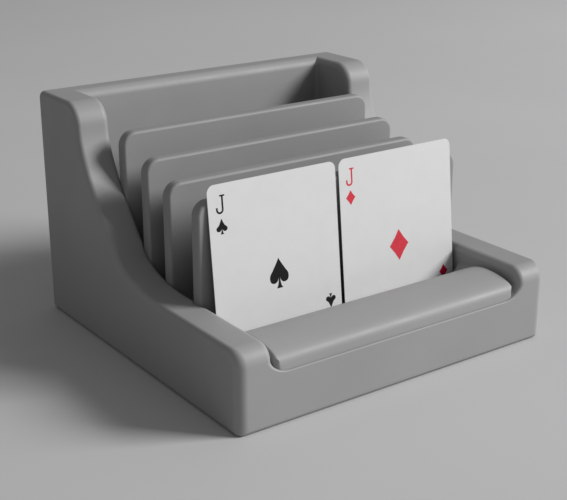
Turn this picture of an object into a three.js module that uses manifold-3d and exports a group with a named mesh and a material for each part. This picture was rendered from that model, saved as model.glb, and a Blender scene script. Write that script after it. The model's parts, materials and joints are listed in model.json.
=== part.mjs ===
// Tiered rack for playing cards: a moulded tray with two swept side walls, four upright dividers
// housed in grooves, a domed front rail, a screwed-on base plate, rubber feet, and two cards
// standing in the front slot. Millimetres, +Z up, +Y towards the back wall, origin on the table
// under the middle of the tray.
import * as THREE from 'three';
import { mergeVertices } from 'three/addons/utils/BufferGeometryUtils.js';
import Module from 'manifold-3d';

const wasm = await Module();
wasm.setup();

// ---------- tray ----------
const width = 162;
const depth = 159;
const height = 104.4;
const sideWall = 15.6;
const backWall = 13;
const edgeRound = 3;
const cornerRound = 4.5; // the four upright outer corners
const backRound = 4.2; // inner top edge of the back wall
const lowTop = 35.1; // top of the low, straight part of each side wall
const noseRound = 7; // front top corner of a side wall, seen from the side
const tailRound = 3.4; // back top corner of a side wall
const shoulderRound = 10; // where the high land turns down into the sweep
const shoulderFront = 121.3; // distance of the shoulder's steepest point from the front face
const sweepKnee = [92, 44.8]; // distance from the front and height where the sweep starts to flatten
const sweepEnd = 58; // distance from the front where the wall top is level again
const lipTop = 22.3; // ledge and front lip the rail stands on
const lipRound = 0.6;
const lipCorner = 8; // round in the two lower corners of the front cut-out
const ledgeDepth = 38;
const floorTop = 6.8;
const trayBottom = 0.4; // the feet hold the tray this far off the table
const recessTop = 3.3; // the base plate sits in a recess up to this height
const rim = 3; // wall left around that recess

// ---------- fit ----------
const gap = 0.3; // clearance between pieces that touch

// ---------- dividers, back row first ----------
const dividerThick = 5.7;
const dividerCorner = 6.4;
const dividerEdge = 1;
const dividerRows = [
  { name: 'divider_back', front: 107.6, top: 92.8, halfWidth: 66.5 },
  { name: 'divider_upper', front: 88.7, top: 85.1, halfWidth: 66.5 },
  { name: 'divider_lower', front: 71.2, top: 79.2, halfWidth: 66.5 },
  { name: 'divider_front', front: 46.5, top: 77.8, halfWidth: 68.0 },
];
const tenonWidth = 18;
const tenonAt = 40; // distance of each tenon and its screw from the middle

// ---------- front rail ----------
const railFront = 1; // distance of its upright front face from the tray's front face
const railCrown = [17, 31.2]; // distance from the front and height of its highest line
const railBack = 33.6;
const railHalfLength = 63;
const railEndRound = 1.2;
const railCorner = 2.8; // upright corners of the rail, seen from above

// ---------- base plate, screws and feet ----------
const plateThick = 2.6;
const screwRadius = 1.45;
const headRadius = 2.8;
const headHeight = 1.6;
const screwBottom = 0.6;
const dividerScrewTop = 15;
const plateScrewTop = 14;
const railScrewTop = 28;
const plateScrewAt = [73.5, 36, 123]; // distance from the middle, then from the front
const footRadius = 6;
const footHeight = 1.4;
const footAt = [64, 16, 143]; // distance from the middle, then from the front

// ---------- cards ----------
const cardWidth = 63;
const cardHeight = 77.6;
const cardThick = 0.3;
const cardCorner = 3.2;
const cardGap = 1.8; // between the two cards
const cardLean = THREE.MathUtils.degToRad(6.04);
const cardFoot = 38.35; // distance of the cards' lower edge from the front face

const halfWidth = width / 2;
const cavityHalf = halfWidth - sideWall;
const backInner = depth - backWall;
const plateTop = trayBottom + plateThick;
const fromFront = (distance) => distance - depth / 2;

// ---------- materials ----------
const traySurface = () => new THREE.MeshStandardMaterial({ color: 0x8f8f90, roughness: 0.6, metalness: 0 });
const dividerSurface = () => new THREE.MeshStandardMaterial({ color: 0x8c8c8d, roughness: 0.6, metalness: 0 });
const railSurface = () => new THREE.MeshStandardMaterial({ color: 0x939394, roughness: 0.55, metalness: 0 });
const plateSurface = () => new THREE.MeshStandardMaterial({ color: 0x3c3d3f, roughness: 0.7, metalness: 0 });
const rubberSurface = () => new THREE.MeshStandardMaterial({ color: 0x202020, roughness: 0.9, metalness: 0 });
const steelSurface = () => new THREE.MeshStandardMaterial({ color: 0xb8babd, roughness: 0.35, metalness: 1 });
const cardSurface = () => new THREE.MeshStandardMaterial({ color: 0xe6e6e4, roughness: 0.5, metalness: 0 });

// ---------- solids ----------
function toManifold(geometry) {
  const bare = geometry.index ? geometry.toNonIndexed() : geometry.clone();
  bare.deleteAttribute('normal');
  bare.deleteAttribute('uv');
  const merged = mergeVertices(bare, 1e-4);
  const vertProperties = Float32Array.from(merged.attributes.position.array);
  const corners = merged.index.array;
  const kept = [];
  for (let i = 0; i < corners.length; i += 3) {
    const [a, b, c] = [corners[i], corners[i + 1], corners[i + 2]];
    if (a !== b && b !== c && c !== a) kept.push(a, b, c);
  }
  return new wasm.Manifold(new wasm.Mesh({ numProp: 3, vertProperties, triVerts: Uint32Array.from(kept) }));
}

function toGeometry(solid) {
  const mesh = solid.getMesh();
  const geometry = new THREE.BufferGeometry();
  geometry.setAttribute('position', new THREE.BufferAttribute(Float32Array.from(mesh.vertProperties), 3));
  geometry.setIndex(new THREE.BufferAttribute(Uint32Array.from(mesh.triVerts), 1));
  const flat = geometry.toNonIndexed();
  flat.computeVertexNormals();
  return flat;
}

const join = (solids) => solids.reduce((sum, next) => sum.add(next));
const cut = (solid, tools) => tools.reduce((rest, tool) => rest.subtract(tool), solid);

// A box given by its low and high corners.
function block(low, high) {
  const size = high.map((value, axis) => value - low[axis]);
  const geometry = new THREE.BoxGeometry(...size);
  geometry.translate(...high.map((value, axis) => (value + low[axis]) / 2));
  return toManifold(geometry);
}

// The outline as straight steps, without the doubled points where an arc meets a line.
function stepped(outline, curveSegments) {
  const points = outline.getPoints(curveSegments);
  const kept = points.filter((point, i) => point.distanceTo(points[(i + 1) % points.length]) > 1e-3);
  return new THREE.Shape(kept);
}

// Extrudes a side-view outline (distance from the front, height) across the tray from x0 to x1.
// A bevel rounds both ends without growing the outline.
function acrossTray(outline, x0, x1, bevel, curveSegments) {
  const geometry = new THREE.ExtrudeGeometry(stepped(outline, curveSegments), {
    depth: x1 - x0 - 2 * bevel,
    bevelEnabled: bevel > 0,
    bevelThickness: bevel,
    bevelSize: bevel,
    bevelOffset: -bevel,
    bevelSegments: 3,
  });
  geometry.translate(0, 0, x0 + bevel);
  // (outline x, outline y, extrusion) become (y, z, x)
  geometry.applyMatrix4(new THREE.Matrix4().set(0, 0, 1, 0, 1, 0, 0, -depth / 2, 0, 1, 0, 0, 0, 0, 0, 1));
  return toManifold(geometry);
}

// Extrudes a front-view outline (x, height) from front to back.
function frontToBack(outline, distance, length, bevel, curveSegments) {
  const geometry = new THREE.ExtrudeGeometry(stepped(outline, curveSegments), {
    depth: length - 2 * bevel,
    bevelEnabled: bevel > 0,
    bevelThickness: bevel,
    bevelSize: bevel,
    bevelOffset: -bevel,
    bevelSegments: 2,
  });
  geometry.rotateX(Math.PI / 2);
  geometry.translate(0, fromFront(distance) + length - bevel, 0);
  return toManifold(geometry);
}

// Turns a closed (radius, height) profile about a vertical axis at x, distance from the front.
function turned(profile, x, distance, segments) {
  const points = profile.map(([radius, z]) => new THREE.Vector2(radius, z));
  const geometry = new THREE.LatheGeometry(points, segments);
  geometry.rotateX(Math.PI / 2);
  geometry.translate(x, fromFront(distance), 0);
  return toManifold(geometry);
}

const pin = (radius, low, high, x, distance, segments = 14) => turned(
  [[0, low], [radius, low], [radius, high], [0, high]], x, distance, segments);

// ---------- tray ----------
// The outlines reach below the tray, so that the bevel at their ends stays above its flat bottom.
const outlineBottom = -edgeRound;

function sideOutline() {
  const outline = new THREE.Shape();
  outline.moveTo(0, outlineBottom);
  outline.lineTo(depth, outlineBottom);
  outline.lineTo(depth, height - tailRound);
  outline.absarc(depth - tailRound, height - tailRound, tailRound, 0, Math.PI / 2, false);
  outline.lineTo(shoulderFront + shoulderRound, height);
  outline.absarc(shoulderFront + shoulderRound, height - shoulderRound, shoulderRound, Math.PI / 2, Math.PI, false);
  const [kneeY, kneeZ] = sweepKnee;
  outline.bezierCurveTo(shoulderFront, height - shoulderRound - 14, kneeY + 12.9, kneeZ + 15.3, kneeY, kneeZ);
  outline.bezierCurveTo(kneeY - 5.8, kneeZ - 6.9, sweepEnd + 14, lowTop, sweepEnd, lowTop);
  outline.lineTo(noseRound, lowTop);
  outline.absarc(noseRound, lowTop - noseRound, noseRound, Math.PI / 2, Math.PI, false);
  outline.closePath();
  return outline;
}

function backOutline() {
  const outline = new THREE.Shape();
  outline.moveTo(backInner, outlineBottom);
  outline.lineTo(depth, outlineBottom);
  outline.lineTo(depth, height - tailRound);
  outline.absarc(depth - tailRound, height - tailRound, tailRound, 0, Math.PI / 2, false);
  outline.lineTo(backInner + backRound, height);
  outline.absarc(backInner + backRound, height - backRound, backRound, Math.PI / 2, Math.PI, false);
  outline.closePath();
  return outline;
}

function frontOutline() {
  const outline = new THREE.Shape();
  outline.moveTo(0, outlineBottom);
  outline.lineTo(ledgeDepth, outlineBottom);
  outline.lineTo(ledgeDepth, lipTop);
  outline.lineTo(lipRound, lipTop);
  outline.absarc(lipRound, lipTop - lipRound, lipRound, Math.PI / 2, Math.PI, false);
  outline.closePath();
  return outline;
}

// The solid left in a lower corner of the front cut-out, side is -1 or 1.
function lipCornerOutline(side) {
  const outer = cavityHalf + 1;
  const inner = cavityHalf - lipCorner;
  const outline = new THREE.Shape();
  outline.moveTo(side * inner, lipTop - 1);
  outline.lineTo(side * outer, lipTop - 1);
  outline.lineTo(side * outer, lipTop + lipCorner);
  outline.lineTo(side * cavityHalf, lipTop + lipCorner);
  const from = side > 0 ? 0 : Math.PI;
  outline.absarc(side * inner, lipTop + lipCorner, lipCorner, from, 1.5 * Math.PI, side > 0);
  outline.closePath();
  return outline;
}

// Groove in both side walls that houses a divider's ends.
function housing(row) {
  return block(
    [-row.halfWidth - gap, fromFront(row.front - gap), floorTop],
    [row.halfWidth + gap, fromFront(row.front + dividerThick + gap), height + 1],
  );
}

// Slots through the floor for a divider's tenons.
function mortises(row) {
  return [-tenonAt, tenonAt].map((x) => block(
    [x - tenonWidth / 2 - gap, fromFront(row.front - gap), recessTop - 1],
    [x + tenonWidth / 2 + gap, fromFront(row.front + dividerThick + gap), floorTop + 1],
  ));
}

// Rounded rectangle in plan, between two distances from the front.
function roundedPlan(x, front, back, round) {
  const low = fromFront(front) + round;
  const high = fromFront(back) - round;
  const outline = new THREE.Shape();
  outline.moveTo(x, low);
  outline.absarc(x - round, high, round, 0, Math.PI / 2, false);
  outline.absarc(-x + round, high, round, Math.PI / 2, Math.PI, false);
  outline.absarc(-x + round, low, round, Math.PI, 1.5 * Math.PI, false);
  outline.absarc(x - round, low, round, 1.5 * Math.PI, 2 * Math.PI, false);
  return outline;
}

function platePlan(inset, round) {
  return roundedPlan(halfWidth - inset, inset, depth - inset, round);
}

function slab(outline, low, high, curveSegments = 4) {
  const geometry = new THREE.ExtrudeGeometry(stepped(outline, curveSegments), {
    depth: high - low,
    bevelEnabled: false,
  });
  geometry.translate(0, 0, low);
  return toManifold(geometry);
}

const bothSides = [-1, 1];
const plateScrewSpots = bothSides.flatMap((side) => plateScrewAt.slice(1).map((y) => [side * plateScrewAt[0], y]));
const footSpots = bothSides.flatMap((side) => footAt.slice(1).map((y) => [side * footAt[0], y]));
const railScrewSpots = bothSides.map((side) => [side * tenonAt, railCrown[0]]);
const dividerScrewSpots = dividerRows.flatMap((row) => bothSides.map(
  (side) => [side * tenonAt, row.front + dividerThick / 2]));

function tray() {
  const shell = join([
    acrossTray(sideOutline(), -halfWidth, -cavityHalf, edgeRound, 6),
    acrossTray(sideOutline(), cavityHalf, halfWidth, edgeRound, 6),
    acrossTray(backOutline(), -halfWidth, halfWidth, edgeRound, 3),
    acrossTray(frontOutline(), -cavityHalf - 4, cavityHalf + 4, 0, 3),
    block([-cavityHalf - 4, fromFront(ledgeDepth - 1), 0], [cavityHalf + 4, fromFront(backInner + 1), floorTop]),
    ...bothSides.map((side) => frontToBack(lipCornerOutline(side), lipRound, ledgeDepth - lipRound, 0, 5)),
  ]);
  const envelope = slab(platePlan(0, cornerRound), trayBottom, height + 1, 5);
  const bore = screwRadius + gap;
  return cut(shell.intersect(envelope), [
    slab(platePlan(rim, 4), 0, recessTop),
    ...dividerRows.map(housing),
    ...dividerRows.flatMap(mortises),
    ...plateScrewSpots.map(([x, y]) => pin(bore, screwBottom, plateScrewTop + gap, x, y)),
    ...railScrewSpots.map(([x, y]) => pin(bore, screwBottom, lipTop + 1, x, y)),
  ]);
}

// ---------- dividers ----------
function dividerOutline(row) {
  const outline = new THREE.Shape();
  const { halfWidth: x, top } = row;
  outline.moveTo(-x, floorTop + gap);
  outline.lineTo(x, floorTop + gap);
  outline.lineTo(x, top - dividerCorner);
  outline.absarc(x - dividerCorner, top - dividerCorner, dividerCorner, 0, Math.PI / 2, false);
  outline.lineTo(-x + dividerCorner, top);
  outline.absarc(-x + dividerCorner, top - dividerCorner, dividerCorner, Math.PI / 2, Math.PI, false);
  outline.closePath();
  return outline;
}

function divider(row) {
  const plate = frontToBack(dividerOutline(row), row.front, dividerThick, dividerEdge, 6);
  const middle = row.front + dividerThick / 2;
  const tenons = bothSides.map((side) => block(
    [side * tenonAt - tenonWidth / 2, fromFront(row.front), recessTop],
    [side * tenonAt + tenonWidth / 2, fromFront(row.front + dividerThick), floorTop + 4],
  ));
  const bores = bothSides.map((side) => pin(
    screwRadius + gap, recessTop - 1, dividerScrewTop + gap, side * tenonAt, middle));
  return cut(join([plate, ...tenons]), bores);
}

// ---------- front rail ----------
const railSeat = lipTop + gap;

// The rail from the side: upright front face, soft front edge, low dome, rounded back.
function railProfile() {
  const [crownY, crownZ] = railCrown;
  const outline = new THREE.Shape();
  outline.moveTo(railFront, railSeat);
  outline.lineTo(railFront, crownZ - 6.2);
  outline.bezierCurveTo(railFront, crownZ - 3.4, railFront + 1.9, crownZ - 2.3, railFront + 5.4, crownZ - 1.3);
  outline.bezierCurveTo(railFront + 8.6, crownZ - 0.4, crownY - 4, crownZ, crownY, crownZ);
  outline.bezierCurveTo(crownY + 5.5, crownZ, railBack - 5, crownZ - 1.5, railBack - 1, crownZ - 6.8);
  outline.lineTo(railBack, railSeat);
  outline.closePath();
  return outline;
}

// The rail from the front: its lower corners follow the rounds in the front cut-out.
function railFrontOutline() {
  const round = lipCorner - gap;
  const x = cavityHalf - lipCorner;
  const centreZ = lipTop + lipCorner;
  const outline = new THREE.Shape();
  outline.moveTo(x, railSeat);
  outline.absarc(x, centreZ, round, -Math.PI / 2, 0, false);
  outline.lineTo(x + round, height);
  outline.lineTo(-x - round, height);
  outline.absarc(-x, centreZ, round, Math.PI, 1.5 * Math.PI, false);
  outline.closePath();
  return outline;
}

function frontRail() {
  const bar = acrossTray(railProfile(), -railHalfLength, railHalfLength, railEndRound, 5);
  const clear = frontToBack(railFrontOutline(), 0, ledgeDepth, 0, 5);
  const plan = slab(roundedPlan(railHalfLength, railFront, railBack, railCorner), railSeat - 1, height, 5);
  const bores = railScrewSpots.map(([x, y]) => pin(screwRadius + gap, railSeat - 1, railScrewTop + gap, x, y));
  return cut(bar.intersect(clear).intersect(plan), bores);
}

// ---------- base plate ----------
function screwSink(x, distance) {
  const bore = screwRadius + gap;
  const wide = headRadius + gap;
  return turned([
    [0, 0], [wide, 0], [wide, screwBottom + gap], [bore, screwBottom + gap + wide - bore],
    [bore, plateTop + 1], [0, plateTop + 1],
  ], x, distance, 14);
}

function basePlate() {
  const sinks = [...plateScrewSpots, ...railScrewSpots, ...dividerScrewSpots].map(([x, y]) => screwSink(x, y));
  const pockets = footSpots.map(([x, y]) => pin(footRadius + gap, 0, footHeight + gap, x, y, 24));
  return cut(slab(platePlan(rim + gap, 4 - gap), trayBottom, plateTop), [...sinks, ...pockets]);
}

// ---------- screws and feet ----------
// Countersunk screw driven upwards, with a crossed recess in its head.
function screw(x, distance, top) {
  const neck = screwBottom + headRadius - screwRadius;
  const body = turned([
    [0, screwBottom], [headRadius, screwBottom], [headRadius, screwBottom + 0.2], [screwRadius, neck + 0.2],
    [screwRadius, top - 2], [0.4, top], [0, top],
  ], x, distance, 14);
  const y = fromFront(distance);
  const recess = [[1.5, 0.35], [0.35, 1.5]].map(([dx, dy]) => block(
    [x - dx, y - dy, 0], [x + dx, y + dy, screwBottom + headHeight / 2]));
  return cut(body, recess);
}

function foot(x, distance) {
  return turned([
    [0, 0], [footRadius - 0.8, 0], [footRadius, 0.8], [footRadius, footHeight], [0, footHeight],
  ], x, distance, 24);
}

// ---------- cards ----------
function card() {
  const x = cardWidth / 2;
  const outline = new THREE.Shape();
  outline.moveTo(x, cardCorner);
  outline.absarc(x - cardCorner, cardHeight - cardCorner, cardCorner, 0, Math.PI / 2, false);
  outline.absarc(-x + cardCorner, cardHeight - cardCorner, cardCorner, Math.PI / 2, Math.PI, false);
  outline.absarc(-x + cardCorner, cardCorner, cardCorner, Math.PI, 1.5 * Math.PI, false);
  outline.absarc(x - cardCorner, cardCorner, cardCorner, 1.5 * Math.PI, 2 * Math.PI, false);
  const geometry = new THREE.ExtrudeGeometry(stepped(outline, 5), { depth: cardThick, bevelEnabled: false });
  geometry.rotateX(Math.PI / 2);
  geometry.translate(0, cardThick, 0);
  return toManifold(geometry);
}

// ---------- assembly ----------
const group = new THREE.Group();
group.name = 'card_rack';

function place(name, solid, surface) {
  const mesh = new THREE.Mesh(toGeometry(solid), surface());
  mesh.name = name;
  group.add(mesh);
  return mesh;
}

place('tray', tray(), traySurface);
dividerRows.forEach((row) => place(row.name, divider(row), dividerSurface));
place('front_rail', frontRail(), railSurface);
place('base_plate', basePlate(), plateSurface);
dividerScrewSpots.forEach(([x, y], i) => place(`divider_screw_${i + 1}`, screw(x, y, dividerScrewTop), steelSurface));
plateScrewSpots.forEach(([x, y], i) => place(`plate_screw_${i + 1}`, screw(x, y, plateScrewTop), steelSurface));
railScrewSpots.forEach(([x, y], i) => place(`rail_screw_${i + 1}`, screw(x, y, railScrewTop), steelSurface));
footSpots.forEach(([x, y], i) => place(`foot_${i + 1}`, foot(x, y), rubberSurface));

[['card_spades', -1], ['card_diamonds', 1]].forEach(([name, side]) => {
  const mesh = place(name, card(), cardSurface);
  mesh.position.set(side * (cardWidth + cardGap) / 2, fromFront(cardFoot), floorTop + gap);
  mesh.rotation.x = -cardLean;
});

export default group;
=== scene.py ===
"""Looks for a tiered playing-card rack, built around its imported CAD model.

Shapes are worked out in millimetres in the CAD model's frame and turned into metres when a piece is
finished. Places and overall sizes come from the boxes of the CAD nodes."""

import json
import math

import bmesh
import bpy
from mathutils import Matrix, Vector


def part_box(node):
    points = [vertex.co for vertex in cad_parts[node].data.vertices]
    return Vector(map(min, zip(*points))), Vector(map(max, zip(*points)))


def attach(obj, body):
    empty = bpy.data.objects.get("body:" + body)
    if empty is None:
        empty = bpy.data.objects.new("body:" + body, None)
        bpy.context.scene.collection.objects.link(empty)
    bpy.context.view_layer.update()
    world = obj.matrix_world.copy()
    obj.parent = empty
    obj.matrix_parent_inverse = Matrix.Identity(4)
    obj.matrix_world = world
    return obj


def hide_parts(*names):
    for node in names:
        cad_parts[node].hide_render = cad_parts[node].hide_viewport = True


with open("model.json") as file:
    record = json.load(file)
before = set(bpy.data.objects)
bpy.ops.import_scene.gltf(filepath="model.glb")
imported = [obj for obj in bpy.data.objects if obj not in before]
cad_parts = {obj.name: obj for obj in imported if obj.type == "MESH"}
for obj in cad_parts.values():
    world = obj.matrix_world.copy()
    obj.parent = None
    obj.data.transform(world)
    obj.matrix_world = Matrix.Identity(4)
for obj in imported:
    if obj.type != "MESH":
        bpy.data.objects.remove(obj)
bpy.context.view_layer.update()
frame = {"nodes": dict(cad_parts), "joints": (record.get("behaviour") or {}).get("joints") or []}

MM = 0.001
SIDES = (-1, 1)
NEAR = 0.01  # millimetres within which two places count as one
CUTTER_REACH = 5.0  # how far a cutter runs past the piece that it cuts
SHARP_FROM = 25  # an edge that turns by more degrees than this can be rounded
SMOOTH_BELOW = 30  # an edge that turns by fewer degrees than this is shaded smooth

DIVIDERS = ("divider_back", "divider_upper", "divider_lower", "divider_front")

# ---------- shapes that a node's box doesn't give, in millimetres ----------
# tray: heights are above the table, and places along the side are measured from the front
SIDE_WALL = 15.6
BACK_WALL = 13.0
FLOOR_TOP = 6.8
LIP_TOP = 22.3  # bottom of the front cut-out, which the rail stands on
LIP_CORNER = 8.0
LEDGE_DEPTH = 38.0
LOW_TOP = 35.1  # top of the side walls at the front
NOSE_ROUND = 7.0
NOSE_FOOT = LOW_TOP - NOSE_ROUND  # where the upright front edge starts to round back
SWEEP_END = 58.0  # low end of the side walls' sweep
SWEEP_KNEE = (92.0, 44.8)  # place and height of a point on the sweep
SHOULDER_FRONT = 121.3
SHOULDER_ROUND = 10.0
TAIL_ROUND = 3.4

# tray: radii of its edges
EDGE_ROUND = 3.0
OUTER_EDGE_ROUND = 2.2
CORNER_ROUND = 4.5
BOTTOM_ROUND = 1.8
BACK_EDGE_ROUND = 4.2
INSIDE_CORNER = 2.0
LEDGE_EDGE_ROUND = 1.0
LIP_EDGE_ROUND = 0.5
NOSE_EDGE_ROUND = 2.6

# dividers and the sockets they stand in
GAP = 0.3  # between pieces that touch in the real rack
GROOVE_SINK = 0.05  # grooves go this far below the floor, so that no two faces coincide
DIVIDER_CORNER = 6.4
DIVIDER_EDGE = 1.3
TENON_AT = 40.0
TENON_WIDTH = 18.0

# front rail
RAIL_END_ROUND = 1.2
RAIL_CORNER = 2.8
RAIL_SEAT_GAP = 0.05
RAIL_CROWN_FROM_FRONT = 17.0

# base plate, screws and feet
PLATE_RIM = 3.0
PLATE_CORNER = 4.0
PLATE_EDGE_ROUND = 0.4
SCREW_RADIUS = 1.45
SCREW_CORE = 1.05
BORE = SCREW_RADIUS + GAP
THREAD_PITCH = 1.2
HEAD_RIM = 0.25
TIP_LENGTH = 1.6
TIP_RADIUS = 0.25
FOOT_RIM_ROUND = 0.7

# cards: the print is measured from the middle and the top edge of the card
CARD_CORNER = 3.2
CARD_THICK = 0.3
CARD_BORDER = 3.5
INK_THICK = 0.03
INK_SINK = 0.01
INDEX_X = -25.75
LETTER_TOP = 4.4
LETTER_HEIGHT = 7.6
SMALL_PIP_TOP = 13.9


def box_mm(node):
    """Lowest and highest corner of a CAD node, in millimetres."""
    low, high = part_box(node)
    return low / MM, high / MM


tray_low, tray_high = box_mm("tray")
HALF_WIDTH = tray_high.x
CAVITY_HALF = HALF_WIDTH - SIDE_WALL
FRONT = tray_low.y
BACK = tray_high.y
HEIGHT = tray_high.z
BACK_INNER = BACK - BACK_WALL
PLATE_TOP = box_mm("base_plate")[1].z
RECESS_TOP = PLATE_TOP + GAP
OVERHEAD = HEIGHT + 10  # where cutters that are open at the top end


# ---------- outlines ----------
def arc(centre, radius, start, end, steps):
    """Points on an arc from one angle to another, in degrees, both ends included."""
    turns = [math.radians(start + (end - start) * step / steps) for step in range(steps + 1)]
    return [(centre[0] + radius * math.cos(turn), centre[1] + radius * math.sin(turn)) for turn in turns]


def bezier(start, pull_a, pull_b, end, steps):
    """Points on a cubic curve, without its first point."""
    points = []
    for step in range(1, steps + 1):
        t = step / steps
        s = 1 - t
        weights = (s ** 3, 3 * s * s * t, 3 * s * t * t, t ** 3)
        corners = (start, pull_a, pull_b, end)
        points.append(tuple(sum(w * p[axis] for w, p in zip(weights, corners)) for axis in (0, 1)))
    return points


def rounded_rectangle(low, high, radius, steps):
    """Corners rounded, anticlockwise from the right side of the lower edge."""
    return (
        arc((high[0] - radius, low[1] + radius), radius, -90, 0, steps)
        + arc((high[0] - radius, high[1] - radius), radius, 0, 90, steps)
        + arc((low[0] + radius, high[1] - radius), radius, 90, 180, steps)
        + arc((low[0] + radius, low[1] + radius), radius, 180, 270, steps)
    )


def without_doubles(points):
    """The outline without points that repeat their neighbour."""
    return [p for i, p in enumerate(points) if math.dist(p, points[i - 1]) > 1e-4]


# ---------- solids ----------
def across(u, v, w):
    """Side-view outline (distance along y, height), extruded along x."""
    return (w, u, v)


def front_to_back(u, v, w):
    """Front-view outline (x, height), extruded along y."""
    return (u, w, v)


def upwards(u, v, w):
    """Plan outline (x, y), extruded along z."""
    return (u, v, w)


def new_object(name, mesh):
    """Links a bmesh to the scene as an object."""
    data = bpy.data.meshes.new(name)
    mesh.to_mesh(data)
    mesh.free()
    piece = bpy.data.objects.new(name, data)
    bpy.context.scene.collection.objects.link(piece)
    return piece


def add_prism(mesh, outline, low, high, place):
    """Adds a closed solid between two copies of an outline."""
    outline = without_doubles(outline)
    ends = [[mesh.verts.new(place(u, v, w)) for u, v in outline] for w in (low, high)]
    faces = [mesh.faces.new(ends[0]), mesh.faces.new(ends[1])]
    for i in range(len(outline)):
        faces.append(mesh.faces.new((ends[0][i - 1], ends[0][i], ends[1][i], ends[1][i - 1])))
    bmesh.ops.recalc_face_normals(mesh, faces=faces)


def add_box(mesh, low, high):
    """Adds a box between two corners."""
    outline = [(low[0], low[1]), (high[0], low[1]), (high[0], high[1]), (low[0], high[1])]
    add_prism(mesh, outline, low[2], high[2], upwards)


def add_rings(mesh, rings):
    """Adds a closed skin over a row of rings with the same number of points, capped at both ends."""
    rows = [[mesh.verts.new(point) for point in ring] for ring in rings]
    faces = [mesh.faces.new(rows[0]), mesh.faces.new(rows[-1])]
    for lower, upper in zip(rows, rows[1:]):
        for i in range(len(lower)):
            faces.append(mesh.faces.new((lower[i - 1], lower[i], upper[i], upper[i - 1])))
    bmesh.ops.recalc_face_normals(mesh, faces=faces)


def add_turned(mesh, profile, x, y, segments):
    """Adds a solid turned about a vertical axis from (radius, height) steps."""
    turns = [2 * math.pi * i / segments for i in range(segments)]
    add_rings(mesh, [
        [(x + radius * math.cos(turn), y + radius * math.sin(turn), z) for turn in turns]
        for radius, z in profile
    ])


def prism(name, outline, low, high, place):
    """A new object that is one outline extruded from low to high."""
    mesh = bmesh.new()
    add_prism(mesh, outline, low, high, place)
    return new_object(name, mesh)


def apply_modifiers(piece):
    """Replaces the mesh by what its modifiers make of it."""
    graph = bpy.context.evaluated_depsgraph_get()
    shown = piece.evaluated_get(graph)
    data = bpy.data.meshes.new_from_object(shown, preserve_all_data_layers=True, depsgraph=graph)
    piece.modifiers.clear()
    piece.data = data


def combine(piece, tool, operation):
    """Cuts, joins or intersects a piece with a tool, which is used up."""
    modifier = piece.modifiers.new("combine", "BOOLEAN")
    modifier.operation = operation
    modifier.solver = "EXACT"
    modifier.object = tool
    apply_modifiers(piece)
    bpy.data.objects.remove(tool)
    if not piece.data.vertices:
        raise RuntimeError(piece.name + " is empty after " + operation)


def cut(piece, fill_tool):
    """Cuts away the separate solids that fill_tool adds to an empty mesh."""
    mesh = bmesh.new()
    fill_tool(mesh)
    combine(piece, new_object("cutter", mesh), "DIFFERENCE")


def round_edges(piece, radius_of, widest, segments):
    """Rounds each sharp edge to radius_of(edge), which is 0 to leave it sharp."""
    mesh = bmesh.new()
    mesh.from_mesh(piece.data)
    bmesh.ops.remove_doubles(mesh, verts=mesh.verts, dist=1e-4)
    bmesh.ops.dissolve_limit(mesh, angle_limit=math.radians(0.4), verts=mesh.verts, edges=mesh.edges)
    weights = mesh.edges.layers.float.get("bevel_weight_edge")
    if weights is None:
        weights = mesh.edges.layers.float.new("bevel_weight_edge")
    for edge in mesh.edges:
        sharp = len(edge.link_faces) == 2 and edge.calc_face_angle() > math.radians(SHARP_FROM)
        edge[weights] = radius_of(edge) / widest if sharp else 0
    mesh.to_mesh(piece.data)
    mesh.free()
    modifier = piece.modifiers.new("round", "BEVEL")
    modifier.limit_method = "WEIGHT"
    modifier.width = widest
    modifier.segments = segments
    modifier.use_clamp_overlap = False
    modifier.loop_slide = False
    modifier.miter_outer = "MITER_SHARP"
    apply_modifiers(piece)


def finish_piece(piece, body, node, material):
    """Turns a piece into metres, smooths it, ties it to its CAD body and hides the CAD node that it stands
    for.
    """
    data = piece.data
    data.transform(Matrix.Scale(MM, 4))
    data.shade_smooth()
    data.set_sharp_from_angle(angle=math.radians(SMOOTH_BELOW))
    data.materials.clear()
    data.materials.append(material)
    modifier = piece.modifiers.new("flat_faces_stay_flat", "WEIGHTED_NORMAL")
    modifier.keep_sharp = True
    modifier.weight = 60
    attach(piece, body)
    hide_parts(node)


# ---------- materials ----------
def new_material(name):
    """A new material with its shader, nodes and links."""
    material = bpy.data.materials.new(name)
    material.use_nodes = True
    nodes = material.node_tree.nodes
    return material, nodes["Principled BSDF"], nodes, material.node_tree.links


NOISE_LOW, NOISE_HIGH = 0.3, 0.7  # nearly all noise values lie between these


def noise(nodes, links, scale, detail, roughness=0.5):
    """A noise pattern fixed to the object, scale in features per metre."""
    place = nodes.new("ShaderNodeTexCoord")
    texture = nodes.new("ShaderNodeTexNoise")
    texture.inputs["Scale"].default_value = scale
    texture.inputs["Detail"].default_value = detail
    texture.inputs["Roughness"].default_value = roughness
    links.new(place.outputs["Object"], texture.inputs["Vector"])
    return texture.outputs["Fac"]


def spread(nodes, links, value, low, high):
    """Maps a noise value to the range low to high."""
    node = nodes.new("ShaderNodeMapRange")
    node.inputs["From Min"].default_value = NOISE_LOW
    node.inputs["From Max"].default_value = NOISE_HIGH
    node.inputs["To Min"].default_value = low
    node.inputs["To Max"].default_value = high
    links.new(value, node.inputs["Value"])
    return node.outputs["Result"]


def ramp(nodes, links, value, low, colour_a, high, colour_b):
    """Turns a value into a colour: colour_a up to low, colour_b from high on, a blend between."""
    node = nodes.new("ShaderNodeValToRGB")
    first, last = node.color_ramp.elements
    first.position = low
    first.color = (*colour_a, 1)
    last.position = high
    last.color = (*colour_b, 1)
    links.new(value, node.inputs["Fac"])
    return node.outputs["Color"]


def blend_colours(nodes, links, value, colour_a, colour_b):
    """Blends between two colours along a noise value."""
    return ramp(nodes, links, value, NOISE_LOW, colour_a, NOISE_HIGH, colour_b)


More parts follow.
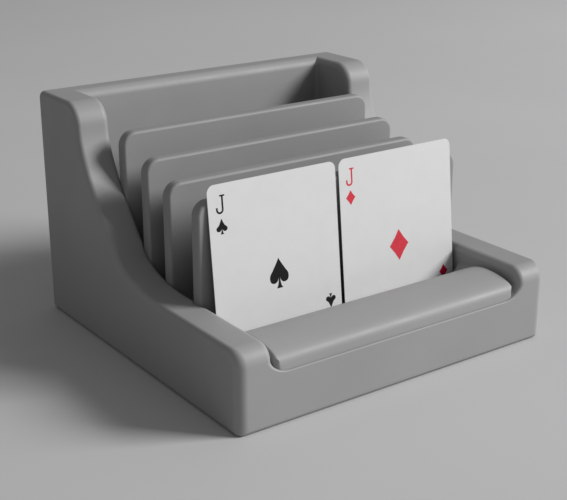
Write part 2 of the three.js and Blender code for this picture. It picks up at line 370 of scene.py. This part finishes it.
def bump(nodes, links, height, distance, strength, under=None):
    """Raises the surface by height times distance, in metres, on top of the bump under it."""
    node = nodes.new("ShaderNodeBump")
    node.inputs["Distance"].default_value = distance
    node.inputs["Strength"].default_value = strength
    links.new(height, node.inputs["Height"])
    if under is not None:
        links.new(under, node.inputs["Normal"])
    return node.outputs["Normal"]


def shade(colour, factor):
    """The colour made lighter or darker."""
    return tuple(min(1, channel * factor) for channel in colour)


def mottle(nodes, links, shader, value, colour, darkest, lightest):
    """Base colour that varies between two shades of one colour along a noise value."""
    tone = blend_colours(nodes, links, value, shade(colour, darkest), shade(colour, lightest))
    links.new(tone, shader.inputs["Base Color"])


def moulded_plastic(name, colour, roughness, grain=0.14, tone=0.03):
    """Matt moulded plastic: fine sparked grain, faint flow marks and slightly uneven gloss."""
    material, shader, nodes, links = new_material(name)
    mottle(nodes, links, shader, noise(nodes, links, 22, 3), colour, 1 - tone, 1 + tone)
    patches = noise(nodes, links, 90, 4)
    links.new(spread(nodes, links, patches, roughness - 0.05, roughness + 0.05), shader.inputs["Roughness"])
    fine = noise(nodes, links, 2600, 2)
    coarse = noise(nodes, links, 420, 2)
    lower = bump(nodes, links, coarse, 0.0001, grain * 0.5)
    links.new(bump(nodes, links, fine, 0.00005, grain, lower), shader.inputs["Normal"])
    shader.inputs["Specular IOR Level"].default_value = 0.4
    return material


def rubber(name, colour):
    """Soft matt rubber with a dusty bloom."""
    material, shader, nodes, links = new_material(name)
    dust = noise(nodes, links, 300, 6, 0.7)
    mottle(nodes, links, shader, dust, colour, 1, 1.8)
    links.new(spread(nodes, links, dust, 0.75, 0.92), shader.inputs["Roughness"])
    links.new(bump(nodes, links, noise(nodes, links, 1800, 3), 0.00008, 0.3), shader.inputs["Normal"])
    shader.inputs["Specular IOR Level"].default_value = 0.3
    return material


def plated_steel(name):
    """Zinc-plated screw steel, turned, with dull and bright patches."""
    material, shader, nodes, links = new_material(name)
    patches = noise(nodes, links, 500, 5, 0.6)
    tone = blend_colours(nodes, links, patches, (0.42, 0.43, 0.45), (0.62, 0.63, 0.64))
    links.new(tone, shader.inputs["Base Color"])
    links.new(spread(nodes, links, patches, 0.28, 0.5), shader.inputs["Roughness"])
    links.new(bump(nodes, links, noise(nodes, links, 3500, 2), 0.00002, 0.4), shader.inputs["Normal"])
    shader.inputs["Metallic"].default_value = 1.0
    return material


def card_face(name, colour):
    """Coated card stock with the faint linen embossing of playing cards."""
    material, shader, nodes, links = new_material(name)
    fibres = noise(nodes, links, 140, 6, 0.6)
    mottle(nodes, links, shader, fibres, colour, 0.985, 1.015)
    links.new(spread(nodes, links, fibres, 0.42, 0.52), shader.inputs["Roughness"])
    links.new(bump(nodes, links, noise(nodes, links, 2200, 1), 0.00002, 0.15), shader.inputs["Normal"])
    shader.inputs["Specular IOR Level"].default_value = 0.35
    return material


def card_back(name, line_colour, paper):
    """A plain printed lattice of diagonal lines."""
    material, shader, nodes, links = new_material(name)
    place = nodes.new("ShaderNodeTexCoord")
    lines = []
    for turn in (45, -45):
        mapping = nodes.new("ShaderNodeMapping")
        mapping.inputs["Rotation"].default_value = (0, math.radians(turn), 0)
        links.new(place.outputs["Object"], mapping.inputs["Vector"])
        wave = nodes.new("ShaderNodeTexWave")
        wave.bands_direction = "X"
        wave.inputs["Scale"].default_value = 80
        links.new(mapping.outputs["Vector"], wave.inputs["Vector"])
        lines.append(wave.outputs["Fac"])
    grid = nodes.new("ShaderNodeMath")
    grid.operation = "MAXIMUM"
    links.new(lines[0], grid.inputs[0])
    links.new(lines[1], grid.inputs[1])
    lattice = ramp(nodes, links, grid.outputs["Value"], 0.86, line_colour, 0.92, paper)
    links.new(lattice, shader.inputs["Base Color"])
    links.new(spread(nodes, links, noise(nodes, links, 140, 4), 0.42, 0.52), shader.inputs["Roughness"])
    shader.inputs["Specular IOR Level"].default_value = 0.35
    return material


def ink(name, colour):
    """Printing ink with a slightly uneven lay-down."""
    material, shader, nodes, links = new_material(name)
    speckle = noise(nodes, links, 900, 4, 0.6)
    mottle(nodes, links, shader, speckle, colour, 0.9, 1.12)
    links.new(spread(nodes, links, speckle, 0.4, 0.5), shader.inputs["Roughness"])
    shader.inputs["Specular IOR Level"].default_value = 0.12
    return material


TRAY_GREY = (0.3, 0.3, 0.3)
CARD_WHITE = (0.66, 0.66, 0.66)
tray_plastic = moulded_plastic("tray_plastic", TRAY_GREY, 0.55)
divider_plastic = moulded_plastic("divider_plastic", shade(TRAY_GREY, 0.9), 0.55)
# painted light: the rail's grey is the tray grey made 5% lighter, standing in for the brighter light on the
# rail's up-facing dome
rail_plastic = moulded_plastic("rail_plastic", shade(TRAY_GREY, 1.05), 0.55)
plate_plastic = moulded_plastic("plate_plastic", (0.045, 0.046, 0.05), 0.62, grain=0.3, tone=0.08)
foot_rubber = rubber("foot_rubber", (0.014, 0.014, 0.014))
screw_steel = plated_steel("screw_steel")
card_stock = card_face("card_stock", CARD_WHITE)
card_pattern = card_back("card_pattern", (0.05, 0.09, 0.2), CARD_WHITE)
black_ink = ink("black_ink", (0.012, 0.012, 0.012))
red_ink = ink("red_ink", (0.61, 0.046, 0.068))
dark_red_ink = ink("dark_red_ink", (0.5, 0.003, 0.042))


# ---------- tray ----------
def side_outline():
    """The tray from the side: nose, low wall, sweep up to the shoulder, high land, tail."""
    knee_y, knee_z = FRONT + SWEEP_KNEE[0], SWEEP_KNEE[1]
    low_end = (FRONT + SWEEP_END, LOW_TOP)
    shoulder = (FRONT + SHOULDER_FRONT, HEIGHT - SHOULDER_ROUND)
    sweep_up = bezier(low_end, (low_end[0] + 14, LOW_TOP), (knee_y - 5.8, knee_z - 6.9), (knee_y, knee_z), 16)
    rise = bezier(
        (knee_y, knee_z), (knee_y + 12.9, knee_z + 15.3), (shoulder[0], shoulder[1] - 14), shoulder, 18)
    return (
        [(BACK, tray_low.z), (FRONT, tray_low.z)]
        + arc((FRONT + NOSE_ROUND, NOSE_FOOT), NOSE_ROUND, 180, 90, 12)
        + [low_end] + sweep_up + rise
        + arc((shoulder[0] + SHOULDER_ROUND, shoulder[1]), SHOULDER_ROUND, 180, 90, 10)[1:]
        + arc((BACK - TAIL_ROUND, HEIGHT - TAIL_ROUND), TAIL_ROUND, 90, 0, 8)
    )


def front_opening(inset):
    """The front cut-out, or what fits in it, open at the top. Its lower corners end where the nose starts."""
    corner_rise = NOSE_FOOT - LIP_TOP
    corner = arc((CAVITY_HALF - LIP_CORNER, 0), LIP_CORNER - inset, 270, 360, 10)
    right = [(x, NOSE_FOOT + z * corner_rise / LIP_CORNER) for x, z in corner]
    left = [(-x, z) for x, z in reversed(right)]
    side = CAVITY_HALF - inset
    return [(side, OVERHEAD), (-side, OVERHEAD)] + left + right


def blend(low, high, share):
    """From low to high as share goes from 0 to 1, and no further."""
    return low + (high - low) * min(1, max(0, share))


def ease(low, high, share):
    """Blend with a level start and end."""
    share = min(1, max(0, share))
    return blend(low, high, share * share * (3 - 2 * share))


def tray_edge_round(edge):
    """Radius for each sharp edge of the hollowed tray."""
    ends = [vertex.co for vertex in edge.verts]
    middle = (ends[0] + ends[1]) / 2
    from_front = middle.y - FRONT

    def both(test):
        return all(test(point) for point in ends)

    on_outer_side = both(lambda p: abs(abs(p.x) - HALF_WIDTH) < NEAR)
    on_inner_wall = both(lambda p: abs(abs(p.x) - CAVITY_HALF) < NEAR)
    on_back_wall = both(lambda p: abs(p.y - BACK_INNER) < NEAR)
    if not edge.is_convex:
        return INSIDE_CORNER if on_inner_wall and on_back_wall else 0
    if both(lambda p: abs(p.z - tray_low.z) < NEAR):
        return BOTTOM_ROUND
    if on_outer_side:
        return blend(CORNER_ROUND, OUTER_EDGE_ROUND, from_front / NOSE_ROUND)
    if both(lambda p: abs(p.y - BACK) < NEAR):
        return EDGE_ROUND
    if on_back_wall and both(lambda p: abs(p.z - HEIGHT) < NEAR):
        return BACK_EDGE_ROUND
    if both(lambda p: abs(p.y - FRONT - LEDGE_DEPTH) < NEAR):
        return LEDGE_EDGE_ROUND if middle.z < LIP_TOP + NEAR else 0
    if on_inner_wall and middle.z > NOSE_FOOT:
        return blend(NOSE_EDGE_ROUND, EDGE_ROUND, from_front / NOSE_ROUND)
    if from_front < NOSE_ROUND:
        return ease(LIP_EDGE_ROUND, NOSE_EDGE_ROUND, (middle.z - LIP_TOP) / (NOSE_FOOT - LIP_TOP))
    return 0


def screw_spots(prefix):
    """Middle of every CAD screw whose name starts with the prefix."""
    spots = []
    for node in sorted(frame["nodes"]):
        if node.startswith(prefix):
            low, high = box_mm(node)
            spots.append(((low.x + high.x) / 2, (low.y + high.y) / 2))
    return spots


def add_pins(mesh, spots, radius, low, high):
    """Adds an upright round pin at each spot."""
    for x, y in spots:
        add_turned(mesh, [(radius, low), (radius, high)], x, y, 24)


def plate_outline(inset, corner):
    """The tray's plan, drawn in by inset all round."""
    low = (-HALF_WIDTH + inset, FRONT + inset)
    high = (HALF_WIDTH - inset, BACK - inset)
    return rounded_rectangle(low, high, corner, 6)


def make_tray():
    """One moulding: floor, side walls, back wall and front ledge, with all its sockets."""
    piece = prism("tray_shell", side_outline(), -HALF_WIDTH, HALF_WIDTH, across)
    ledge_back = FRONT + LEDGE_DEPTH
    opening = prism("cutter", front_opening(0), FRONT - CUTTER_REACH, ledge_back + 0.5, front_to_back)
    combine(piece, opening, "DIFFERENCE")
    cavity = ((-CAVITY_HALF, ledge_back, FLOOR_TOP), (CAVITY_HALF, BACK_INNER, OVERHEAD))
    cut(piece, lambda mesh: add_box(mesh, *cavity))
    round_edges(piece, tray_edge_round, CORNER_ROUND, 5)
    cut(piece, lambda mesh: add_prism(mesh, plate_outline(PLATE_RIM, PLATE_CORNER), 0, RECESS_TOP, upwards))
    cut(piece, add_housings)
    cut(piece, add_mortises)
    plate_bore_top = box_mm("plate_screw_1")[1].z + GAP
    cut(piece, lambda mesh: add_pins(mesh, screw_spots("plate_screw"), BORE, 0, plate_bore_top))
    cut(piece, lambda mesh: add_pins(mesh, screw_spots("rail_screw"), BORE, 0, LIP_TOP + 1))
    finish_piece(piece, "rack", "tray", tray_plastic)


def add_housings(mesh):
    """Grooves in both side walls that hold the ends of the dividers."""
    for node in DIVIDERS:
        low, high = box_mm(node)
        foot = FLOOR_TOP - GROOVE_SINK
        add_box(mesh, (low.x - GAP, low.y - GAP, foot), (high.x + GAP, high.y + GAP, OVERHEAD))


def add_mortises(mesh):
    """Slots in the tray's floor for the tenons of the dividers."""
    for node in DIVIDERS:
        low, high = box_mm(node)
        for side in SIDES:
            x = side * TENON_AT
            half = TENON_WIDTH / 2 + GAP
            add_box(mesh, (x - half, low.y - GAP, RECESS_TOP - 1), (x + half, high.y + GAP, FLOOR_TOP + 1))


# ---------- dividers ----------
def divider_outline(low, high):
    """Divider from the front: rounded top corners, and two tenons below."""
    bottom = FLOOR_TOP + GAP
    corner = DIVIDER_CORNER
    points = []
    for side in SIDES:
        x = side * TENON_AT
        half = TENON_WIDTH / 2
        points += [(x - half, bottom), (x - half, low.z), (x + half, low.z), (x + half, bottom)]
    points += [(high.x, bottom)]
    points += arc((high.x - corner, high.z - corner), corner, 0, 90, 10)
    points += arc((low.x + corner, high.z - corner), corner, 90, 180, 10)
    return points + [(low.x, bottom)]


def make_divider(node):
    """Flat panel with softened edges and a screw hole in each tenon."""
    low, high = box_mm(node)
    piece = prism(node + "_panel", divider_outline(low, high), low.y, high.y, front_to_back)

    def edge_round(edge):
        flat = abs(edge.verts[0].co.y - edge.verts[1].co.y) < NEAR
        return DIVIDER_EDGE if flat and min(v.co.z for v in edge.verts) > FLOOR_TOP else 0

    round_edges(piece, edge_round, DIVIDER_EDGE, 4)
    middle = (low.y + high.y) / 2
    spots = [(side * TENON_AT, middle) for side in SIDES]
    top = box_mm("divider_screw_1")[1].z + GAP
    cut(piece, lambda mesh: add_pins(mesh, spots, BORE, low.z - 1, top))
    finish_piece(piece, "rack", node, divider_plastic)


# ---------- front rail ----------
def rail_profile(low, high):
    """The rail from the side: upright front face, soft front edge, low dome, rounded back."""
    front, back, top = low.y, high.y, high.z
    crown = FRONT + RAIL_CROWN_FROM_FRONT
    rise = [(front, low.z), (front, top - 6.2)]
    rise += bezier(rise[-1], (front, top - 3.4), (front + 1.9, top - 2.3), (front + 5.4, top - 1.3), 12)
    rise += bezier(rise[-1], (front + 8.6, top - 0.4), (crown - 4, top), (crown, top), 10)
    fall = bezier((crown, top), (crown + 5.5, top), (back - 5, top - 1.5), (back - 1, top - 6.8), 20)
    return rise + fall + [(back, low.z)]


def make_rail():
    """Domed bar with rounded ends, flat underneath."""
    low, high = box_mm("front_rail")
    low.z = LIP_TOP + RAIL_SEAT_GAP
    piece = prism("rail_bar", rail_profile(low, high), low.x, high.x, across)

    def end_edges(edge):
        level_end = abs(edge.verts[0].co.x - edge.verts[1].co.x) < NEAR
        return RAIL_END_ROUND if level_end and max(v.co.z for v in edge.verts) > low.z + 0.1 else 0

    round_edges(piece, end_edges, RAIL_END_ROUND, 5)
    from_front = prism(
        "cutter", front_opening(RAIL_SEAT_GAP), low.y - CUTTER_REACH, high.y + CUTTER_REACH, front_to_back)
    combine(piece, from_front, "INTERSECT")
    plan = rounded_rectangle((low.x, low.y), (high.x, high.y), RAIL_CORNER, 12)
    from_above = prism("cutter", plan, low.z - CUTTER_REACH, high.z + CUTTER_REACH, upwards)
    combine(piece, from_above, "INTERSECT")
    # rounds nothing more, but merges the flat faces that the two cutters split
    round_edges(piece, lambda edge: 0, RAIL_END_ROUND, 1)
    spots = screw_spots("rail_screw")
    top = box_mm("rail_screw_1")[1].z + GAP
    cut(piece, lambda mesh: add_pins(mesh, spots, BORE, low.z - 1, top))
    finish_piece(piece, "rack", "front_rail", rail_plastic)


# ---------- base plate, screws and feet ----------
def make_base_plate():
    """Cover plate with countersunk screw holes and pockets for the feet."""
    low, high = box_mm("base_plate")
    inset = PLATE_RIM + GAP
    piece = prism("base_cover", plate_outline(inset, PLATE_CORNER - GAP), low.z, high.z, upwards)

    def rim_round(edge):
        level = abs(edge.verts[0].co.z - edge.verts[1].co.z) < NEAR
        return PLATE_EDGE_ROUND if level else 0

    round_edges(piece, rim_round, PLATE_EDGE_ROUND, 3)
    head_low, head_high = box_mm("plate_screw_1")
    wide = (head_high.x - head_low.x) / 2 + GAP
    seat = head_low.z + GAP

    def add_sinks(mesh):
        for prefix in ("plate_screw", "rail_screw", "divider_screw"):
            for x, y in screw_spots(prefix):
                steps = [(wide, low.z - 1), (wide, seat), (BORE, seat + wide - BORE), (BORE, high.z + 1)]
                add_turned(mesh, steps, x, y, 32)

    def add_pockets(mesh):
        for number in range(1, 5):
            foot_low, foot_high = box_mm(f"foot_{number}")
            middle = (foot_low + foot_high) / 2
            radius = (foot_high.x - foot_low.x) / 2 + GAP
            add_turned(mesh, [(radius, low.z - 1), (radius, foot_high.z + GAP)], middle.x, middle.y, 48)

    cut(piece, add_sinks)
    cut(piece, add_pockets)
    finish_piece(piece, "rack", "base_plate", plate_plastic)


def thread_radius(level, turn):
    """Radius of a screw's thread at one height and angle."""
    phase = (level / THREAD_PITCH - turn / (2 * math.pi)) % 1
    return SCREW_CORE + (SCREW_RADIUS - SCREW_CORE) * max(0, 1 - abs(phase - 0.5) * 4)


def make_screw(node):
    """Countersunk screw with a crossed recess and a helical thread."""
    low, high = box_mm(node)
    x, y = (low.x + high.x) / 2, (low.y + high.y) / 2
    head = (high.x - low.x) / 2
    neck = low.z + HEAD_RIM + head - SCREW_CORE
    tip_start = high.z - TIP_LENGTH
    turns = [2 * math.pi * i / 24 for i in range(24)]

    def ring(level, radii):
        return [(x + r * math.cos(t), y + r * math.sin(t), level) for r, t in zip(radii, turns)]

    def plain_ring(level, radius):
        return ring(level, [radius] * len(turns))

    rows = [plain_ring(low.z, head), plain_ring(low.z + HEAD_RIM, head), plain_ring(neck, SCREW_CORE)]
    level = neck + 0.4
    while level < tip_start - 0.2:
        rows.append(ring(level, [thread_radius(level, turn) for turn in turns]))
        level += THREAD_PITCH / 5
    rows += [plain_ring(tip_start, SCREW_CORE), plain_ring(high.z, TIP_RADIUS)]
    mesh = bmesh.new()
    add_rings(mesh, rows)
    piece = new_object(node + "_steel", mesh)

    def add_recess(tool):
        outer, inner = 1.55, 0.38
        cross = [
            (inner, -outer), (inner, -inner), (outer, -inner), (outer, inner), (inner, inner), (inner, outer),
            (-inner, outer), (-inner, inner), (-outer, inner), (-outer, -inner), (-inner, -inner),
            (-inner, -outer)]
        levels = ((1.15, low.z - 0.2), (0.6, low.z + 1.1))
        add_rings(tool, [[(x + u * size, y + v * size, level) for u, v in cross] for size, level in levels])

    cut(piece, add_recess)
    finish_piece(piece, "rack", node, screw_steel)


def make_foot(node):
    """Round stick-in rubber foot with a softened rim and two rings."""
    low, high = box_mm(node)
    middle = (low + high) / 2
    radius = (high.x - low.x) / 2
    steps = [(1.2, 0.35), (1.7, 0.35), (1.9, 0.0), (3.2, 0.0), (3.4, 0.3), (3.8, 0.3), (4.0, 0.0)]
    rim = arc((radius - FOOT_RIM_ROUND, FOOT_RIM_ROUND), FOOT_RIM_ROUND, -90, 0, 6)
    profile = [(0.5, 0.35)] + steps + rim + [(radius, high.z - low.z)]
    mesh = bmesh.new()
    add_turned(mesh, [(r, low.z + z) for r, z in profile], middle.x, middle.y, 48)
    piece = new_object(node + "_pad", mesh)
    finish_piece(piece, "rack", node, foot_rubber)


# ---------- cards ----------
def mirrored(right_half):
    """Closes an outline from its right half, given from top to bottom."""
    return right_half + [(-x, y) for x, y in reversed(right_half)]


def spade(width, height, waist=0.0):
    """Spade with its tip at the top of the box; waist pulls in the sides above the lobes."""
    half = width / 2
    shoulder = ((0.36 - 0.1 * waist) * width, -0.42 * height)
    side_a = bezier(
        (0, 0), (0.08 * width, -0.12 * height), (shoulder[0] - 0.1 * width, -0.3 * height), shoulder, 5)
    side_b = bezier(
        shoulder, (shoulder[0] + 0.09 * width, -0.5 * height),
        (half, -0.54 * height), (half, -0.64 * height), 5)
    lobe = bezier(
        (half, -0.64 * height), (half, -0.77 * height), (0.4 * width, -0.825 * height),
        (0.27 * width, -0.825 * height), 5)
    inner = bezier(
        (0.27 * width, -0.825 * height), (0.13 * width, -0.825 * height), (0.05 * width, -0.73 * height),
        (0.035 * width, -0.63 * height), 5)
    stem = bezier(
        (0.035 * width, -0.63 * height), (0.045 * width, -0.82 * height), (0.08 * width, -0.93 * height),
        (0.17 * width, -height), 5)
    return mirrored([(0, 0)] + side_a + side_b + lobe + inner + stem)[:-1]


def diamond(width, height):
    """Diamond with faintly hollow sides."""
    half, mid = width / 2, -height / 2
    hollow = 0.03 * width
    right = [(0, 0), (half / 2 - hollow, mid / 2), (half, mid), (half / 2 - hollow, 1.5 * mid), (0, 2 * mid)]
    return right + [(-x, y) for x, y in reversed(right[1:-1])]


def index_letter(height):
    """Slim serif J, drawn as one outline; its top is at 0 and its stem stands at x = 1.3."""
    thick = 0.78
    outer = 1.74
    stem_right = 1.7
    centre = (stem_right - outer, -height + outer)
    serif = 0.6
    return (
        [(0.1, 0), (2.5, 0), (2.5, -serif), (stem_right, -serif)]
        + arc(centre, outer, 0, -180, 14)
        + [(centre[0] - outer, centre[1] + 0.9), (centre[0] - outer + thick, centre[1] + 0.9)]
        + arc(centre, outer - thick, -180, 0, 12)
        + [(stem_right - thick, -serif), (0.1, -serif)]
    )


def card_placing(node, body):
    """Width and height of a CAD card, and the matrix that makes an upright card lean like it."""
    low, high = box_mm(node)
    lift = next(joint for joint in frame["joints"] if joint["child"] == body)
    lean = math.atan2(lift["axis"][1], lift["axis"][2])
    foot_z = low.z + CARD_THICK * math.sin(lean)
    height = (high.z - foot_z) / math.cos(lean)
    stand = Matrix.Translation(((low.x + high.x) / 2, low.y, foot_z)) @ Matrix.Rotation(-lean, 4, "X")
    return high.x - low.x, height, stand


def make_card(node, body, pips, pip_middle, turn_at, inks):
    """A card with its print, standing where the CAD card leans.

    Its big pip is centred at pip_middle and its lower print is turned about turn_at, both measured
    down from the card's top edge."""
    width, height, stand = card_placing(node, body)
    outline = rounded_rectangle((-width / 2, 0), (width / 2, height), CARD_CORNER, 10)
    sheet = prism(node + "_stock", outline, 0, CARD_THICK, front_to_back)
    sheet.data.transform(stand)
    finish_piece(sheet, body, node, card_stock)

    def printed(name, outlines, front, back, material):
        mesh = bmesh.new()
        for points in outlines:
            add_prism(mesh, points, front, back, front_to_back)
        piece = new_object(name, mesh)
        piece.data.transform(stand)
        finish_print(piece, body, material)

    def shifted(points, x, below_top):
        return [(u + x, v + height - below_top) for u, v in points]

    def turned(points):
        return [(-u, 2 * (height - turn_at) - v) for u, v in points]

    inner_low = (-width / 2 + CARD_BORDER, CARD_BORDER)
    inner_high = (width / 2 - CARD_BORDER, height - CARD_BORDER)
    lattice = rounded_rectangle(inner_low, inner_high, 2, 8)
    printed(node + "_back_print", [lattice], CARD_THICK - INK_SINK, CARD_THICK + INK_SINK, card_pattern)
    big_pip, small_pip = pips
    letter = shifted(index_letter(LETTER_HEIGHT), INDEX_X - 0.3, LETTER_TOP)
    pip = shifted(small_pip, INDEX_X, SMALL_PIP_TOP)
    pip_height = max(v for _, v in big_pip) - min(v for _, v in big_pip)
    centre = shifted(big_pip, 0, pip_middle - pip_height / 2)
    printed(node + "_print", [letter, pip, centre, turned(letter)], -INK_THICK, INK_SINK, inks[0])
    printed(node + "_lower_pip", [turned(pip)], -INK_THICK, INK_SINK, inks[1])


def finish_print(piece, body, material):
    """Print rides on the card it lies on and stands for no CAD node of its own."""
    piece.data.transform(Matrix.Scale(MM, 4))
    piece.data.materials.append(material)
    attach(piece, body)


make_tray()
for divider in DIVIDERS:
    make_divider(divider)
make_rail()
make_base_plate()
for node in sorted(frame["nodes"]):
    if "_screw_" in node:
        make_screw(node)
    if node.startswith("foot_"):
        make_foot(node)
make_card(
    "card_spades", "spades_card", pips=(spade(9.4, 12.8), spade(5.2, 6.3, waist=1)),
    pip_middle=41.7, turn_at=38.3, inks=(black_ink, black_ink))
make_card(
    "card_diamonds", "diamonds_card", pips=(diamond(10.7, 14.1), diamond(4.95, 6.4)),
    pip_middle=42.9, turn_at=38.8, inks=(red_ink, dark_red_ink))


# ---------- floor, light and camera ----------
def make_floor():
    """Plain pale table top, large enough for every view."""
    half = 12  # metres
    mesh = bmesh.new()
    corners = [(-half, -half), (half, -half), (half, half), (-half, half)]
    mesh.faces.new([mesh.verts.new((x, y, 0)) for x, y in corners])
    floor = new_object("floor", mesh)
    material, shader, nodes, links = new_material("floor_paper")
    clouds = noise(nodes, links, 3, 3)
    tone = blend_colours(nodes, links, clouds, (0.52, 0.52, 0.52), (0.54, 0.54, 0.54))
    links.new(tone, shader.inputs["Base Color"])
    links.new(spread(nodes, links, noise(nodes, links, 40, 3), 0.7, 0.8), shader.inputs["Roughness"])
    shader.inputs["Specular IOR Level"].default_value = 0.2
    floor.data.materials.append(material)


def aim(thing, target):
    """Turns a light or the camera to face a point."""
    thing.rotation_mode = "QUATERNION"
    thing.rotation_quaternion = (Vector(target) - thing.location).to_track_quat("-Z", "Y")


def area_light(name, heading, elevation, distance, size, power):
    """Soft white square light; heading is measured from the front towards the right, in degrees."""
    turn, rise = math.radians(heading), math.radians(elevation)
    data = bpy.data.lights.new(name, "AREA")
    data.shape = "SQUARE"
    data.size = size
    data.energy = power
    light = bpy.data.objects.new(name, data)
    light.location = Vector((
        math.sin(turn) * math.cos(rise), -math.cos(turn) * math.cos(rise), math.sin(rise))) * distance
    aim(light, (0, 0, 0.04))  # near the middle of the rack
    bpy.context.scene.collection.objects.link(light)


def make_world(grey):
    """Even light from all round."""
    world = bpy.data.worlds.new("studio")
    bpy.context.scene.world = world
    world.use_nodes = True
    world.node_tree.nodes["Background"].inputs["Color"].default_value = (grey, grey, grey, 1)


def make_camera():
    """Stands left of the front, looking down at the rack, with a fitted place and lens."""
    data = bpy.data.cameras.new("camera")
    data.sensor_width = 36
    data.lens = 75.18
    data.clip_start, data.clip_end = 0.01, 60
    camera = bpy.data.objects.new("camera", data)
    camera.location = (-0.29535, -0.40622, 0.21782)
    yaw, pitch = math.radians(35.71), math.radians(20.02)
    heading = Vector((math.sin(yaw) * math.cos(pitch), math.cos(yaw) * math.cos(pitch), -math.sin(pitch)))
    aim(camera, camera.location + heading)
    bpy.context.scene.collection.objects.link(camera)
    bpy.context.scene.camera = camera


make_floor()
make_world(0.22)
area_light("key_light", heading=52, elevation=31, distance=4.0, size=1.5, power=184)
make_camera()
bpy.context.scene.view_settings.view_transform = "Standard"
